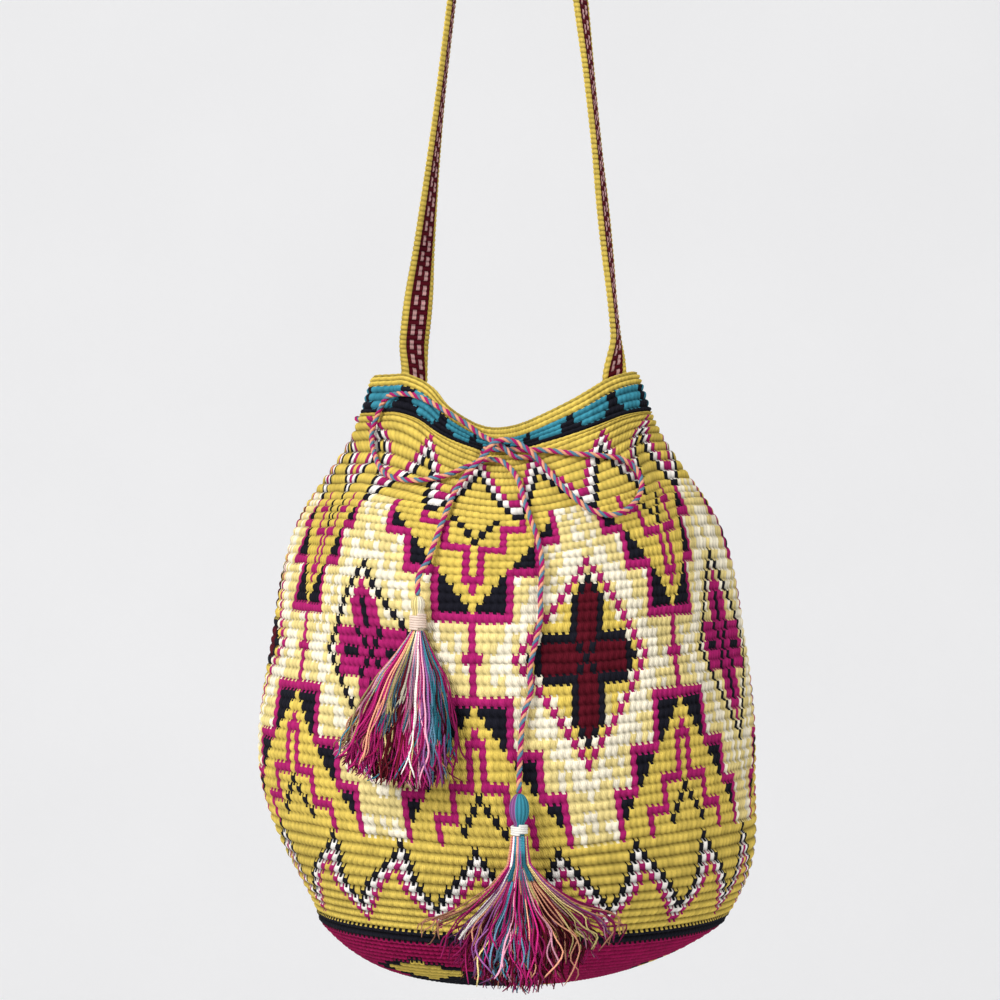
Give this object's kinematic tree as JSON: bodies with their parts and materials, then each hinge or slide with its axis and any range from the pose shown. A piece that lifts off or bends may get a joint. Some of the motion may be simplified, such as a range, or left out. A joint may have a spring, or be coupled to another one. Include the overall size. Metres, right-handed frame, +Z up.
{
  "type": "raffia drawstring bag",
  "caption": "Crocheted bucket bag with a gathered oval mouth, a drawstring tied in a bow with tassels on its ends, a bowl-like base and a long shoulder strap that it hangs from.",
  "frame": {"origin": "middle of the level stretch on the underside of the strap's highest point, where a hook or peg carries the bag", "axes": "+Z up along the hanging bag, -Y towards the front with the bow and the tassels, +X to the right as the front is seen"},
  "size_m": [0.2442, 0.2686, 0.6833],
  "materials": {
    "crochet_wall": "crocheted raffia-like yarn, matt, mustard ground with a traditional pattern in magenta, black, cream and blue",
    "crochet_strap": "flat crocheted band, matt, mustard edges with maroon, cream and grey-brown stripes",
    "twisted_cord": "three-ply twisted cord, soft sheen, magenta, grey-blue and peach plies",
    "tassel_yarn": "loose yarn strands, soft sheen, magenta, maroon, teal, peach and cream",
    "pink_binding": "wound yarn, pale pink and cream",
    "white_binding": "wound yarn, off-white"
  },
  "bodies": {
    "bag": {"bag_body": "crochet_wall", "shoulder_strap": "crochet_strap", "drawstring": "twisted_cord"},
    "left_tassel": {"left_tassel": "tassel_yarn", "left_tassel_binding": "pink_binding"},
    "right_tassel": {"right_tassel": "tassel_yarn", "right_tassel_binding": "white_binding"}
  },
  "joints": [
    {"name": "left_tassel_swing", "type": "hinge", "parent": "bag", "child": "left_tassel", "pos_m": [-0.04596, -0.11237, -0.49322], "axis": [-1, 0, 0], "range_deg": [0, 60]},
    {"name": "right_tassel_swing", "type": "hinge", "parent": "bag", "child": "right_tassel", "pos_m": [0.00035, -0.12825, -0.58541], "axis": [-1, 0, 0], "range_deg": [0, 60]}
  ]
}
